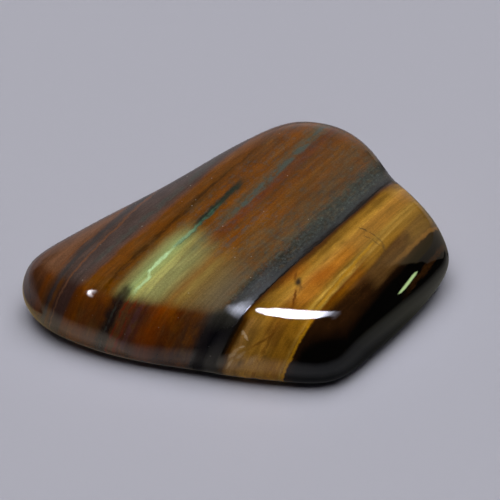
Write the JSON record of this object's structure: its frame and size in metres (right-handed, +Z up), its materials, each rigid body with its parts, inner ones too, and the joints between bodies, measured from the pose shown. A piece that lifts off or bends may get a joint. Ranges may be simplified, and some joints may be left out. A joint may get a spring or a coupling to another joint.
{
  "type": "tumbled tiger's eye stone",
  "caption": "Tumbled and polished tiger's eye pebble, a flat rounded kite shape with one pointed end, banded right through, lying on its flattest side.",
  "frame": {"origin": "on the surface the stone lies on, under the middle of its outline", "axes": "+X along the longest side, towards the broad end (the pointed end is at -X); +Y towards the back; +Z up, out of the broad top face"},
  "size_m": [0.034, 0.0236, 0.008],
  "materials": {
    "banded_quartz": "tumble polished to a wet gloss, banded brown, rust, grey-blue, gold and near black, with a silky sheen that shifts along the fibres"
  },
  "bodies": {
    "root": {"tigers_eye": "banded_quartz"}
  },
  "joints": []
}
